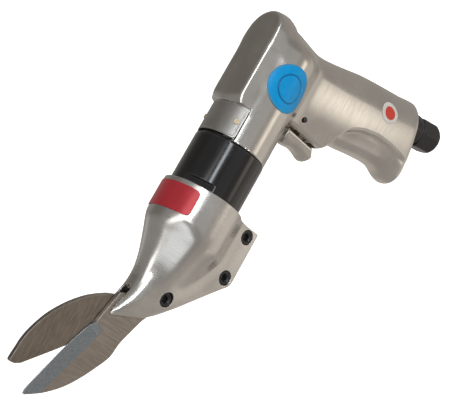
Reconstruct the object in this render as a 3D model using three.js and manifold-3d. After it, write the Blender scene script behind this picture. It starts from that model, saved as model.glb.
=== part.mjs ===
// Air-powered pistol-grip metal shear. Millimetres, +Z up.
// The part's origin is the centre of the flat top pad, in the mid-plane.
// The nose points along -X, the handle hangs along -Z and the screw heads face -Y.
import * as THREE from 'three';
import { mergeVertices } from 'three/addons/utils/BufferGeometryUtils.js';
import { ParametricGeometry } from 'three/addons/geometries/ParametricGeometry.js';
import { ConvexGeometry } from 'three/addons/geometries/ConvexGeometry.js';
import Module from 'manifold-3d';

const wasm = await Module();
wasm.setup();

const DEG = Math.PI / 180;

// ---- Driving dimensions --------------------------------------------------
const BARREL_R = 22.3;
const BARREL_END_X = 84;
const MOTOR_BORE_R = 19.9;
const THREAD_BORE_R = 20.9;
const THREAD_DEPTH = 10;
const PAD_Z = 23.6;
const PAD_HALF_WIDTH = 13.5;
const PAD_CENTRE_X = 54;

const COLLAR_LENGTH = 32;
const COLLAR_BORE_R = 19.1;
const SPIGOT_R = 18.5;
const SPIGOT_END_X = -44;

const HEAD_R = 25.6;
const HEAD_REAR_X = -32.1;
const CHEEK_HALF = 10;
const BLADE_SLOT_HALF = 3.6;
const PINCH_SLOT_HALF = 1;
const SCREW_POINTS = [[-37.1, -35.9], [-64.7, -36.2], [-95.2, -5.3]];
const SCREW_HEAD_R = 4.3;
const SCREW_HEAD_LENGTH = 5.6;
const COUNTERBORE_R = 4.7;
const SCREW_R = 2.6;

const BLADE_THICKNESS = 3.3;
const BLADE_GAP = 0.1;
const BUSHING_R = 4.5;
const BLADE_HOLE_R = 4.65;

const GEAR_MODULE = 0.75;
const SUN_TEETH = 9;
const PLANET_TEETH = 18;
const RING_TEETH = 45;
const PRESSURE_ANGLE = 28 * DEG;
const TOOTH_THINNING = 0.1;
const GEAR_FRONT_X = -23.5;
const GEAR_REAR_X = -13;
const PLANET_COUNT = 3;
const PLANET_ORBIT_R = GEAR_MODULE * (SUN_TEETH + PLANET_TEETH) / 2;

const ECCENTRICITY = 1.6;
const JOURNAL_R = 4.9;
const CAM_BEARING_R = 8;
const SPINDLE_R = 5.9;

const VANE_COUNT = 5;
const ROTOR_R = 14;
const LINER_R = 19.6;
const LINER_BORE_R = 16.6;
const LINER_X = [18, 54];
const SHAFT_R = 3.95;
const BEARING_R = 11;

const VALVE_Z = -38.5;
const TRIGGER_PIN = [41.5, -28.5];

const INLET_BASE = [89.4, -107.6];
const INLET_TILT = 12 * DEG;
const INLET_SPIGOT_R = 8.9;
// Distances along the inlet axis: the heel face, and the end of the hexagon.
const HEEL_S = 9;
const HEX_END_S = 36.4;

// ---- Colours -------------------------------------------------------------
const ALUMINIUM = { color: 0xbab6ae, roughness: 0.3, metalness: 1 };
const BLACK_STEEL = { color: 0x101113, roughness: 0.2, metalness: 0.8 };
const STEEL = { color: 0x8e8c88, roughness: 0.35, metalness: 1 };
const TOOL_STEEL = { color: 0x8c8173, roughness: 0.38, metalness: 1 };
const BRASS = { color: 0xb08d4a, roughness: 0.35, metalness: 1 };
const RED = { color: 0xc23a45, roughness: 0.45, metalness: 0 };
const BLUE = { color: 0x0f86c8, roughness: 0.4, metalness: 0 };
const WHITE = { color: 0xe6e4df, roughness: 0.5, metalness: 0 };
const RUBBER = { color: 0x17181a, roughness: 0.8, metalness: 0 };
const COMPOSITE = { color: 0x6b4a2c, roughness: 0.7, metalness: 0 };

// ---- Solid helpers -------------------------------------------------------
function toSolid(geometry) {
  const bare = geometry.clone();
  for (const name of Object.keys(bare.attributes)) {
    if (name !== 'position') bare.deleteAttribute(name);
  }
  const merged = mergeVertices(bare, 1e-4);
  const position = merged.attributes.position;
  const kept = [];
  let volume = 0;
  const [a, b, c] = [new THREE.Vector3(), new THREE.Vector3(), new THREE.Vector3()];
  for (let i = 0; i < merged.index.count; i += 3) {
    const ids = [0, 1, 2].map((k) => merged.index.getX(i + k));
    if (new Set(ids).size < 3) continue;
    kept.push(...ids);
    a.fromBufferAttribute(position, ids[0]);
    b.fromBufferAttribute(position, ids[1]);
    c.fromBufferAttribute(position, ids[2]);
    volume += a.dot(b.cross(c));
  }
  if (volume < 0) {
    for (let i = 0; i < kept.length; i += 3) {
      [kept[i + 1], kept[i + 2]] = [kept[i + 2], kept[i + 1]];
    }
  }
  const mesh = new wasm.Mesh({
    numProp: 3,
    vertProperties: new Float32Array(position.array),
    triVerts: new Uint32Array(kept),
  });
  mesh.merge();
  return new wasm.Manifold(mesh);
}

function toGeometry(solid) {
  const mesh = solid.getMesh();
  const geometry = new THREE.BufferGeometry();
  geometry.setAttribute('position', new THREE.BufferAttribute(mesh.vertProperties, 3));
  geometry.setIndex(new THREE.BufferAttribute(mesh.triVerts, 1));
  geometry.computeVertexNormals();
  return geometry;
}

function unite(...solids) {
  return solids.reduce((sum, next) => sum.add(next));
}

function cut(solid, ...tools) {
  return tools.reduce((rest, tool) => rest.subtract(tool), solid);
}

// Solid of revolution about the X axis; profile points are [x, radius].
function turned(profile, segments = 24) {
  const points = profile.map(([x, r]) => new THREE.Vector2(r, x));
  return toSolid(new THREE.LatheGeometry(points, segments).rotateZ(-Math.PI / 2));
}

function rod(x0, x1, radius, segments = 24) {
  return turned([[x0, 0], [x0, radius], [x1, radius], [x1, 0]], segments);
}

function sleeve(x0, x1, inner, outer, segments = 24) {
  return turned([[x0, inner], [x0, outer], [x1, outer], [x1, inner], [x0, inner]], segments);
}

function shapeOf(points) {
  return new THREE.Shape(points.map(([u, v]) => new THREE.Vector2(u, v)));
}

// Plate with its outline in the XZ plane, filling y0..y1.
function plateXZ(points, y0, y1) {
  const geometry = new THREE.ExtrudeGeometry(shapeOf(points), {
    depth: y1 - y0, bevelEnabled: false,
  });
  return toSolid(geometry.rotateX(Math.PI / 2).translate(0, y1, 0));
}

// Prism with its outline in the YZ plane, filling x0..x1.
function prismX(shape, x0, x1, curveSegments = 12) {
  const options = { depth: x1 - x0, bevelEnabled: false, curveSegments };
  const geometry = new THREE.ExtrudeGeometry(shape, options);
  const basis = new THREE.Matrix4().set(0, 0, 1, x0, 1, 0, 0, 0, 0, 1, 0, 0, 0, 0, 0, 1);
  return toSolid(geometry.applyMatrix4(basis));
}

function boxOf(x, y, z) {
  const geometry = new THREE.BoxGeometry(x[1] - x[0], y[1] - y[0], z[1] - z[0]);
  geometry.translate((x[0] + x[1]) / 2, (y[0] + y[1]) / 2, (z[0] + z[1]) / 2);
  return toSolid(geometry);
}

// Cylinder along Y through (x, z).
function pinY(x, z, y0, y1, radius, segments = 20) {
  const geometry = new THREE.CylinderGeometry(radius, radius, y1 - y0, segments);
  return toSolid(geometry.translate(x, (y0 + y1) / 2, z));
}

// Curved strip wrapped round the X axis, with phi measured from +Z towards -Y.
function wrapped(x0, x1, r0, r1, phi0, phi1, steps = 10) {
  const shape = new THREE.Shape();
  shape.absarc(0, 0, r1, phi0, phi1, false);
  shape.absarc(0, 0, r0, phi1, phi0, true);
  shape.closePath();
  const options = { depth: x1 - x0, bevelEnabled: false, curveSegments: steps };
  const geometry = new THREE.ExtrudeGeometry(shape, options);
  const basis = new THREE.Matrix4().set(0, 0, 1, x0, 0, -1, 0, 0, 1, 0, 0, 0, 0, 0, 0, 1);
  return toSolid(geometry.applyMatrix4(basis));
}

// Shapes are drawn from the motor axis, and the part's origin is the centre of the top pad.
const root = new THREE.Group();
const tool = new THREE.Group();
tool.position.set(-PAD_CENTRE_X, 0, -PAD_Z);
root.add(tool);

function place(parent, name, solid, look) {
  const mesh = new THREE.Mesh(toGeometry(solid), new THREE.MeshStandardMaterial(look));
  mesh.name = name;
  parent.add(mesh);
  return mesh;
}

// ---- Motor housing: barrel, top pad and pistol handle in one casting -------
// Handle sections: height, front x, side crease x, back x, half width, bluntness.
const HANDLE_SECTIONS = [
  [PAD_Z - 1.5, 62, 67, 83.6, 12.6, 2.4],
  [14, 60, 67, 85, 13.6, 2.4],
  [2, 50, 62, 84, 13.6, 3],
  [-10, 38, 44, 82.6, 13.8, 4],
  [-22, 34, 38.2, 82.2, 14, 4.5],
  [-36, 34, 38.2, 84.6, 14, 4.5],
  [-49.5, 34, 38.4, 88.4, 14, 4.5],
  [-54, 35.6, 43, 89.6, 14.2, 3.6],
  [-57.5, 40.5, 50, 90.6, 14.4, 2.8],
  [-63, 43.8, 55.5, 92.2, 14.6, 2.4],
  [-73, 46, 60.5, 94.9, 14.9, 2.2],
  [-86, 49.4, 65, 98.2, 15, 2.1],
  [-99, 52.2, 66.8, 101.8, 15, 2.1],
  [-107, 53, 67.2, 104, 14.9, 2.1],
  [-112.5, 52.4, 67, 105.2, 14.6, 2.1],
  [-117.5, 50.8, 66.4, 106, 14.2, 2.2],
  [-121.6, 50.2, 65.8, 106.4, 13.6, 2.3],
  [-124.2, 51.2, 65.6, 105.8, 12.8, 2.3],
  [-125.2, 53.2, 65.6, 104, 11.4, 2.3],
];
// The heel is square to the air inlet, so it rises towards the back.
const HEEL_TOP_Z = -98;
const HEEL_DEPTH = 24;
const HEEL_RISE = Math.tan(INLET_TILT);
const REAR_DEPTH = 12;
const COLUMNS = 28;

function handleRing(section, angle) {
  const [z, front, crease, back, half, blunt] = section;
  const c = Math.cos(angle);
  const s = Math.sin(angle);
  const power = c < 0 ? 2 / blunt : 2 / 2.3;
  const reach = c < 0 ? crease - front : REAR_DEPTH;
  const base = c < 0 ? crease : back - REAR_DEPTH;
  const x = base + Math.sign(c) * reach * Math.abs(c) ** power;
  const y = half * Math.sign(s) * Math.abs(s) ** power;
  const low = Math.min(Math.max((HEEL_TOP_Z - z) / HEEL_DEPTH, 0), 1);
  return [x, y, z + HEEL_RISE * (x - 50) * low];
}

function handleCentre(section) {
  const ends = [handleRing(section, 0), handleRing(section, Math.PI)];
  return [(ends[0][0] + ends[1][0]) / 2, 0, (ends[0][2] + ends[1][2]) / 2];
}

function handleSolid() {
  const last = HANDLE_SECTIONS.length - 1;
  const surface = (u, v, target) => {
    const row = Math.round(v * (last + 2)) - 1;
    const section = HANDLE_SECTIONS[Math.min(Math.max(row, 0), last)];
    if (row < 0 || row > last) {
      target.set(...handleCentre(section));
      return;
    }
    target.set(...handleRing(section, columnAngle(u)));
  };
  return toSolid(new ParametricGeometry(surface, COLUMNS, last + 2));
}

function columnAngle(u) {
  const turn = (Math.round(u * COLUMNS) % COLUMNS) / COLUMNS;
  return turn * 2 * Math.PI;
}

function barrelSolid() {
  const barrel = turned([
    [0.3, 0], [0.3, BARREL_R - 0.4], [0.7, BARREL_R], [63, BARREL_R], [69, 21.3],
    [73, 19.4], [75.4, 16.6], [77, 12.5], [77.4, 0],
  ], 40);
  const plan = new THREE.Shape();
  const rearCentre = BARREL_END_X - PAD_HALF_WIDTH + 0.6;
  plan.moveTo(20, -PAD_HALF_WIDTH);
  plan.lineTo(rearCentre, -PAD_HALF_WIDTH);
  plan.absarc(rearCentre, 0, PAD_HALF_WIDTH, -Math.PI / 2, Math.PI / 2, false);
  plan.lineTo(20, PAD_HALF_WIDTH);
  const block = toSolid(new THREE.ExtrudeGeometry(plan, {
    depth: PAD_Z - 6, bevelThickness: 2.2, bevelSize: 2.2, bevelOffset: -2.2,
    bevelSegments: 2, curveSegments: 8,
  }).translate(0, 0, 3.8));
  const side = plateXZ([[22.3, 8], [22.3, 21.4], [25.5, PAD_Z], [86, PAD_Z], [86, 8]], -20, 20);
  return barrel.add(block.intersect(side));
}

const inletDirection = new THREE.Vector3(Math.sin(INLET_TILT), 0, -Math.cos(INLET_TILT));

// Places a solid turned about X so that its axis follows the air inlet.
function alongInlet(solid) {
  const matrix = new THREE.Matrix4().makeBasis(
    inletDirection,
    new THREE.Vector3(0, 1, 0),
    new THREE.Vector3().crossVectors(inletDirection, new THREE.Vector3(0, 1, 0)),
  );
  matrix.setPosition(INLET_BASE[0], 0, INLET_BASE[1]);
  return toSolid(toGeometry(solid).applyMatrix4(matrix));
}

function aroundValve(solid) {
  return solid.translate([0, 0, VALVE_Z]);
}

function radialPin(x, phi, r0, r1, radius, segments = 12) {
  const geometry = new THREE.CylinderGeometry(radius, radius, r1 - r0, segments);
  geometry.rotateX(Math.PI / 2).translate(0, 0, (r0 + r1) / 2).rotateX(phi).translate(x, 0, 0);
  return toSolid(geometry);
}

const PLATE_SCREWS = [40 * DEG, -40 * DEG];

const housing = cut(
  unite(barrelSolid(), handleSolid()),
  rod(-1, THREAD_DEPTH, THREAD_BORE_R),
  rod(THREAD_DEPTH - 1, 60.3, MOTOR_BORE_R),
  rod(60, 70, 14.5, 24),
  wrapped(1.7, 21.8, BARREL_R - 0.5, BARREL_R + 3, -50 * DEG, 50 * DEG),
  ...PLATE_SCREWS.map((phi) => radialPin(11.5, phi, 21.05, 24, 0.95)),
  boxOf([30, 38.2], [-7.4, 7.4], [-52, -25.8]),
  aroundValve(rod(37, 72, 9, 24)),
  pinY(TRIGGER_PIN[0], TRIGGER_PIN[1], -15, 15, 1.65, 16),
  alongInlet(rod(-50, 3, 6.5, 20)),
  alongInlet(rod(-9, 20, 9.2, 24)),
  alongInlet(boxOf([-4, 20], [-8, 8], [-32, -13.5])),
  alongInlet(boxOf([HEEL_S - 2.1, 20], [-9.7, 9.7], [-33.7, -11.8])),
);
place(tool, 'motor_housing', housing, ALUMINIUM);

// ---- Plates, badge and sticker on the housing --------------------------------
const plateHoles = PLATE_SCREWS.map((phi) => radialPin(11.5, phi, 20, 24, 0.95));
const namePlate = cut(
  wrapped(2, 21.5, BARREL_R - 0.4, BARREL_R + 0.15, -49 * DEG, 49 * DEG),
  ...plateHoles,
);
place(tool, 'name_plate', namePlate, { ...ALUMINIUM, roughness: 0.5 });
PLATE_SCREWS.forEach((phi, i) => {
  const head = radialPin(11.5, phi, BARREL_R + 0.2, BARREL_R + 0.9, 1.5);
  const shank = radialPin(11.5, phi, 21.3, BARREL_R + 0.4, 0.8);
  place(tool, `name_plate_screw_${i + 1}`, head.add(shank), STEEL);
});

const BADGE_CENTRE = [45.6, 0.9];
const ovalXZ = (centre, radii, steps) => new THREE.EllipseCurve(...centre, ...radii)
  .getPoints(steps).slice(0, steps).map((p) => [p.x, p.y]);
const badge = wrapped(25, 70, BARREL_R + 0.15, BARREL_R + 0.55, 30 * DEG, 150 * DEG, 12)
  .intersect(plateXZ(ovalXZ(BADGE_CENTRE, [14.4, 14.6], 32), -30, -5));
place(tool, 'side_badge', badge, BLUE);

place(tool, 'grip_sticker',
  plateXZ(ovalXZ([83.8, -86.4], [6.6, 7.6], 24), -15.35, -15.08), WHITE);

// ---- Gear case (black collar) -------------------------------------------------
const flats = [34 * DEG, 214 * DEG].map((phi) => toSolid(
  new THREE.BoxGeometry(4.8, 24, 6).translate(-30, 0, BARREL_R - 2.8 + 3).rotateX(phi),
));
const gearCase = cut(
  turned([
    [SPIGOT_END_X, 14.1], [SPIGOT_END_X, SPIGOT_R], [-COLLAR_LENGTH, SPIGOT_R],
    [-COLLAR_LENGTH, BARREL_R - 0.8], [-COLLAR_LENGTH + 0.8, BARREL_R + 0.2],
    [-0.9, BARREL_R + 0.2], [0, BARREL_R - 0.5], [0, THREAD_BORE_R - 0.2],
    [THREAD_DEPTH - 0.2, THREAD_BORE_R - 0.2], [THREAD_DEPTH - 0.2, COLLAR_BORE_R],
    [-31.5, COLLAR_BORE_R], [-31.5, 13], [-34, 13], [-34, 14.1], [SPIGOT_END_X, 14.1],
  ], 36),
  ...flats,
);
place(tool, 'gear_case', gearCase, BLACK_STEEL);

// ---- Epicyclic gears ------------------------------------------------------------
// Involute tooth outline; internal gears swap addendum and dedendum.
function gearOutline(teeth, internal = false) {
  const pitch = GEAR_MODULE * teeth / 2;
  const base = pitch * Math.cos(PRESSURE_ANGLE);
  const up = (internal ? 1.05 : 0.8) * GEAR_MODULE;
  const down = (internal ? 0.8 : 1.05) * GEAR_MODULE;
  const [tip, foot] = [pitch + up, pitch - down];
  const thinning = internal ? -TOOTH_THINNING : TOOTH_THINNING;
  const halfAngle = (Math.PI * GEAR_MODULE / 2 - thinning) / (2 * pitch);
  const involute = (r) => {
    const a = Math.acos(Math.min(1, base / r));
    return Math.tan(a) - a;
  };
  const flankAngle = (r) => halfAngle + involute(pitch) - involute(Math.max(r, base));
  const radii = [0, 0.5, 1].map((t) => {
    const start = Math.max(base, foot);
    return start + (tip - start) * t;
  });
  const flank = radii.map((r) => [r, flankAngle(r)]);
  if (foot < base) flank.unshift([foot, flankAngle(base)]);
  const points = [];
  for (let i = 0; i < teeth; i += 1) {
    const centre = (i / teeth) * 2 * Math.PI;
    for (const [r, a] of flank) points.push([r, centre - a]);
    for (const [r, a] of [...flank].reverse()) points.push([r, centre + a]);
  }
  return points.map(([r, a]) => [r * Math.cos(a), r * Math.sin(a)]);
}

// A tooth space of the ring faces each planet.
const centre = new THREE.Vector2();
const ringHole = new THREE.Path(gearOutline(RING_TEETH, true).map(
  ([u, v]) => new THREE.Vector2(u, v).rotateAround(centre, Math.PI / RING_TEETH),
));
const ringShape = new THREE.Shape();
ringShape.absarc(0, 0, COLLAR_BORE_R - 0.2, 0, 2 * Math.PI, false);
ringShape.holes.push(ringHole);
place(tool, 'ring_gear', prismX(ringShape, -24, -12.5, 20), STEEL);

const planetShape = shapeOf(gearOutline(PLANET_TEETH));
planetShape.holes.push(new THREE.Path().absarc(0, 0, 2.1, 0, 2 * Math.PI, true));
// A gap of the planet faces the sun and the ring.
const planetSolid = prismX(planetShape, GEAR_FRONT_X, GEAR_REAR_X, 16)
  .rotate([180 / PLANET_TEETH, 0, 0]);

const carrierTurn = new THREE.Group();
tool.add(carrierTurn);
for (let i = 0; i < PLANET_COUNT; i += 1) {
  const arm = new THREE.Group();
  arm.rotation.x = (i / PLANET_COUNT) * 2 * Math.PI;
  const planet = place(arm, `planet_gear_${i + 1}`, planetSolid, STEEL);
  planet.position.y = PLANET_ORBIT_R;
  const pin = place(arm, `planet_pin_${i + 1}`, rod(-29.5, -12.2, 1.95, 16), STEEL);
  pin.position.y = PLANET_ORBIT_R;
  carrierTurn.add(arm);
}

const carrierHoles = [0, 1, 2].map((i) => rod(-29.8, -20, 2.1, 16)
  .translate([0, PLANET_ORBIT_R, 0]).rotate([i * 120, 0, 0]));
const carrier = cut(
  unite(
    turned([[-43, 0], [-43, SPINDLE_R], [-31.2, SPINDLE_R], [-31.2, 14], [-24.4, 14],
      [-24.4, 0]]),
    rod(-54.5, -42.5, JOURNAL_R, 24).translate([0, ECCENTRICITY, 0]),
  ),
  ...carrierHoles,
);
place(carrierTurn, 'planet_carrier', carrier, STEEL);
const camBearing = sleeve(-54, -47, JOURNAL_R + 0.12, CAM_BEARING_R)
  .translate([0, ECCENTRICITY, 0]);
place(carrierTurn, 'cam_bearing', camBearing, { ...STEEL, roughness: 0.2 });
place(tool, 'spindle_bearing', sleeve(-42.2, -34.2, SPINDLE_R + 0.12, 13.9), STEEL);

// ---- Vane motor -------------------------------------------------------------------
place(tool, 'front_end_plate', turned([[3.5, 11.15], [3.5, 14], [11.2, 14], [11.2, LINER_R],
  [17.8, LINER_R], [17.8, SHAFT_R + 0.3], [11.2, SHAFT_R + 0.3], [11.2, 11.15],
  [3.5, 11.15]]), STEEL);
place(tool, 'front_rotor_bearing', sleeve(4, 11, SHAFT_R + 0.1, BEARING_R, 24), STEEL);
const linerPorts = [0, 1, 2].map((i) => pinY(26 + i * 10, 0, 14, 21, 2.4, 12));
const liner = cut(sleeve(...LINER_X, LINER_BORE_R, LINER_R), ...linerPorts);
place(tool, 'cylinder_liner', liner, STEEL);
place(tool, 'rear_end_plate', turned([[54.2, SHAFT_R + 0.3], [54.2, LINER_R], [60, LINER_R],
  [60, 14], [68, 14], [68, 11.15], [60.3, 11.15], [60.3, SHAFT_R + 0.3],
  [54.2, SHAFT_R + 0.3]]), STEEL);
place(tool, 'rear_rotor_bearing', sleeve(60.6, 67.6, SHAFT_R + 0.1, BEARING_R, 24), STEEL);

const slots = [];
const vanes = [];
for (let i = 0; i < VANE_COUNT; i += 1) {
  const turn = [(i / VANE_COUNT) * 360, 0, 0];
  slots.push(boxOf([10, 60], [-0.95, 0.95], [6.3, 20])
    .intersect(boxOf([LINER_X[0] + 0.3, LINER_X[1] - 0.3], [-2, 2], [0, 20])).rotate(turn));
  vanes.push(boxOf([LINER_X[0] + 0.6, LINER_X[1] - 0.6], [-0.8, 0.8], [6.7, 13.8]).rotate(turn));
}
const sun = prismX(shapeOf(gearOutline(SUN_TEETH)), GEAR_FRONT_X, 0);
const rotor = cut(
  unite(
    sun,
    rod(-0.5, 69, SHAFT_R, 24),
    rod(LINER_X[0] + 0.4, LINER_X[1] - 0.4, ROTOR_R, 30),
  ),
  ...slots,
);
place(tool, 'rotor', rotor, STEEL);
vanes.forEach((vane, i) => place(tool, `vane_${i + 1}`, vane, COMPOSITE));

// ---- Head: casting with a mid-plane slot for the blades ----------------------------
const headSolid = turned([
  [HEAD_REAR_X, 0], [HEAD_REAR_X, 24.6], [HEAD_REAR_X - 0.5, 25.3], [HEAD_REAR_X - 1.4, HEAD_R],
  [-59, HEAD_R - 0.5], [-63, 24.2], [-68, 21.6], [-74, 18.8], [-81, 15.6], [-88, 11],
  [-88, 0],
], 40);
const CHEEK_OUTLINE = [
  [-60, 16], [-72, 16], [-79, 14.4], [-85, 13.8], [-92, 14], [-99, 15.2], [-105.5, 17.2],
  [-111, 19.4], [-116, 20.6], [-119.6, 21], [-120.4, 20.2], [-120, 18], [-115.5, 8.5],
  [-110.6, 0], [-109, -2.2], [-107, -4.4], [-103.1, -8.3], [-69.8, -40.2], [-68.6, -41.6],
  [-66.5, -42.8], [-64, -43.2], [-34, -43.2], [-32.6, -42.6], [-32, -41.2], [-32, -15],
];
// Half widths of the cheeks along the nose, which is rounded in plan.
const NOSE_PLAN = [
  [-30, 10], [-100, 10], [-106, 9.5], [-111, 8.3], [-115.5, 6.5], [-119.6, 4], [-121, 2],
];
const BLADE_SLOT = [
  [-130, 40], [-100.4, 40], [-98.6, 11.4], [-76, 10.8], [-66, 19.4], [-44.2, 19.4],
  [-44.2, -19.4], [-66, -19.4], [-74, -15.5], [-84, -15.5], [-88, -30], [-130, 5],
];
const PINCH_SLOT = [[-30, -15], [-84, -14], [-90, -10], [-96, -20], [-96, -46], [-30, -46]];
const noseOutline = [...NOSE_PLAN, ...NOSE_PLAN.map(([x, y]) => [x, -y]).reverse()];
const nosePrism = toSolid(new THREE.ExtrudeGeometry(shapeOf(noseOutline), {
  depth: 80, bevelEnabled: false,
}).translate(0, 0, -50));
const head = cut(
  unite(headSolid, plateXZ(CHEEK_OUTLINE, -CHEEK_HALF, CHEEK_HALF).intersect(nosePrism)),
  rod(-44.3, -31, SPIGOT_R + 0.2, 36),
  rod(-57.5, -40, 11.5, 24),
  plateXZ(BLADE_SLOT, -BLADE_SLOT_HALF, BLADE_SLOT_HALF),
  plateXZ(PINCH_SLOT, -PINCH_SLOT_HALF, PINCH_SLOT_HALF),
  ...SCREW_POINTS.map(([x, z]) => pinY(x, z, -12, -4, COUNTERBORE_R, 24)),
  ...SCREW_POINTS.map(([x, z]) => pinY(x, z, -12, 8, SCREW_R + 0.2, 20)),
);
place(tool, 'head_housing', head, ALUMINIUM);
place(tool, 'head_label',
  wrapped(-51.5, -35, HEAD_R + 0.05, HEAD_R + 0.35, -48 * DEG, 48 * DEG, 14), RED);

const HEX_KEY_R = 2.3;
SCREW_POINTS.forEach(([x, z], i) => {
  const screw = cut(
    unite(
      pinY(x, z, -9.8, -9.8 + SCREW_HEAD_LENGTH, SCREW_HEAD_R, 24),
      pinY(x, z, -5, 7.7, SCREW_R, 20),
    ),
    pinY(x, z, -11, -7, HEX_KEY_R, 6),
  );
  place(tool, `head_screw_${i + 1}`, screw, BLACK_STEEL);
});

// ---- Blades ---------------------------------------------------------------------------
const PIVOT = SCREW_POINTS[2];
const DOWEL = [-87.4, -7.5];
const FIXED_OUTLINE = [
  [-180.2, 41.4], [-179.3, 42.2], [-177.4, 42.1], [-174.6, 41.5], [-147.2, 33],
  [-131.4, 26.6], [-128, 24.4], [-124, 24.2], [-105.6, 20.2], [-103, 13.6], [-98, 9],
  [-84.5, 6], [-82.5, -2], [-84.5, -13.6], [-90, -17.4], [-93.5, -16.4], [-104.6, -6.4],
  [-109.5, -4.7], [-112.8, -2.9], [-122.4, 0.5], [-130.5, 3], [-139.3, 4.2], [-149.4, 9.7],
  [-158.6, 15.7], [-166.6, 22.4], [-173, 30], [-177.1, 36.1], [-179.8, 40.4],
];
// The near face is ground away along the cutting edge, down to a thin land.
const BEVEL_WIDTH = 7.5;
const BEVEL_DROP = 2.6;
function bevelCutter() {
  const start = new THREE.Vector3(-181, -BLADE_GAP - BLADE_THICKNESS, 43.6);
  const end = new THREE.Vector3(-126, -BLADE_GAP - BLADE_THICKNESS, 24.2);
  const along = end.clone().sub(start);
  const down = new THREE.Vector3(along.z, 0, -along.x).normalize();
  const profile = [
    [BEVEL_WIDTH, 0], [0, BEVEL_DROP], [-6, BEVEL_DROP * 1.8], [-6, -2], [BEVEL_WIDTH, -2],
  ];
  const ring = (origin) => profile.map(([w, d]) => {
    const corner = origin.clone().addScaledVector(down, w);
    corner.y += d;
    return corner;
  });
  return new ConvexGeometry([...ring(start), ...ring(end)]);
}
const fixedBlade = cut(
  plateXZ(FIXED_OUTLINE, -BLADE_GAP - BLADE_THICKNESS, -BLADE_GAP),
  toSolid(bevelCutter()),
  pinY(...PIVOT, -5, 5, BLADE_HOLE_R, 24),
  pinY(...DOWEL, -5, 5, 2.15, 16),
);
place(tool, 'fixed_blade', fixedBlade, TOOL_STEEL);
place(tool, 'fixed_blade_dowel', pinY(...DOWEL, -3.5, -0.2, 2, 16), STEEL);
place(tool, 'pivot_bushing', cut(
  pinY(...PIVOT, -3.5, 3.5, BUSHING_R, 24),
  pinY(...PIVOT, -4, 4, SCREW_R + 0.15, 20),
), STEEL);

const FORK_HALF = 12.2;
const MOVING_OUTLINE = [
  [-168.2, 59.2], [-168.6, 58], [-168.4, 55.6], [-166.5, 51.9], [-147.7, 33.5],
  [-119, 6.5], [-112, 0.5], [-106.5, -4.6], [-102, -10], [-95, -13.2], [-86, -12.6],
  [-78, -12.8], [-66, -15.4], [-60, -16.6], [-46.6, -16.6], [-46.6, -FORK_HALF],
  [-57.8, -FORK_HALF], [-60.4, -9.4], [-60.4, 9.4], [-57.8, FORK_HALF], [-46.6, FORK_HALF],
  [-46.6, 16.6], [-62, 16.6], [-76, 8], [-97, 7], [-101.5, 8.6], [-104.6, 12.4], [-109.2, 24.4],
  [-115.7, 34.6], [-124.5, 43.8], [-135, 51.5], [-145, 56.1], [-153.9, 58.6],
  [-161.3, 59.1], [-166.6, 59.4],
];
place(tool, 'moving_blade', cut(
  plateXZ(MOVING_OUTLINE, BLADE_GAP, BLADE_GAP + BLADE_THICKNESS),
  pinY(...PIVOT, -5, 5, BLADE_HOLE_R, 24),
), TOOL_STEEL);

// ---- Trigger and throttle valve -----------------------------------------------------------
const TRIGGER_SIDE = [
  [33.4, -26.4], [27.5, -26.2], [25.4, -27], [24, -29], [24.2, -32.6], [25.2, -37],
  [25.6, -41], [25, -45.5], [24, -49.5], [24, -51.6], [25.2, -53], [27.4, -53.2],
  [30.4, -51.6], [33.4, -50.4],
];
// Plan of the trigger, crowned across the finger face.
const TRIGGER_HALF = 6.6;
const triggerPlan = new THREE.Shape();
triggerPlan.moveTo(34, -TRIGGER_HALF);
triggerPlan.lineTo(28.5, -TRIGGER_HALF);
triggerPlan.quadraticCurveTo(25.4, -6.2, 24.2, -3.4);
triggerPlan.quadraticCurveTo(23.2, 0, 24.2, 3.4);
triggerPlan.quadraticCurveTo(25.4, 6.2, 28.5, TRIGGER_HALF);
triggerPlan.lineTo(34, TRIGGER_HALF);
const triggerPrism = toSolid(new THREE.ExtrudeGeometry(triggerPlan, {
  depth: 40, bevelEnabled: false, curveSegments: 4,
}).translate(0, 0, -60));
place(tool, 'trigger', plateXZ(TRIGGER_SIDE, -7, 7).intersect(triggerPrism), ALUMINIUM);
place(tool, 'trigger_pin', pinY(...TRIGGER_PIN, -13.8, 13.8, 1.45, 16), STEEL);

place(tool, 'valve_bushing', aroundValve(turned([
  [38.6, 2.3], [38.6, 8.7], [39.6, 8.7], [39.6, 8], [43.4, 8], [43.4, 8.7], [50, 8.7],
  [50, 4], [45, 4], [45, 2.3], [38.6, 2.3],
], 24)), BRASS);
place(tool, 'valve_stem', aroundValve(turned([
  [33.7, 0], [33.7, 2.1], [53, 2.1], [53, 6], [55.2, 6], [55.2, 2], [61, 2], [61, 0],
], 20)), STEEL);
place(tool, 'valve_seal', aroundValve(sleeve(50.6, 52.7, 2.3, 6, 20)), RUBBER);

class Helix extends THREE.Curve {
  constructor(radius, length, turns) {
    super();
    Object.assign(this, { radius, length, turns });
  }

  getPoint(t, target = new THREE.Vector3()) {
    const angle = t * this.turns * 2 * Math.PI;
    return target.set(t * this.length, this.radius * Math.cos(angle), this.radius * Math.sin(angle));
  }
}
const wire = new THREE.Shape().absarc(0, 0, 0.5, 0, 2 * Math.PI, false);
const spring = toSolid(new THREE.ExtrudeGeometry(wire, {
  steps: 44, curveSegments: 3, extrudePath: new Helix(3.2, 9.5, 4),
})).translate([56.2, 0, VALVE_Z]);
place(tool, 'valve_spring', spring, STEEL);

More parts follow.
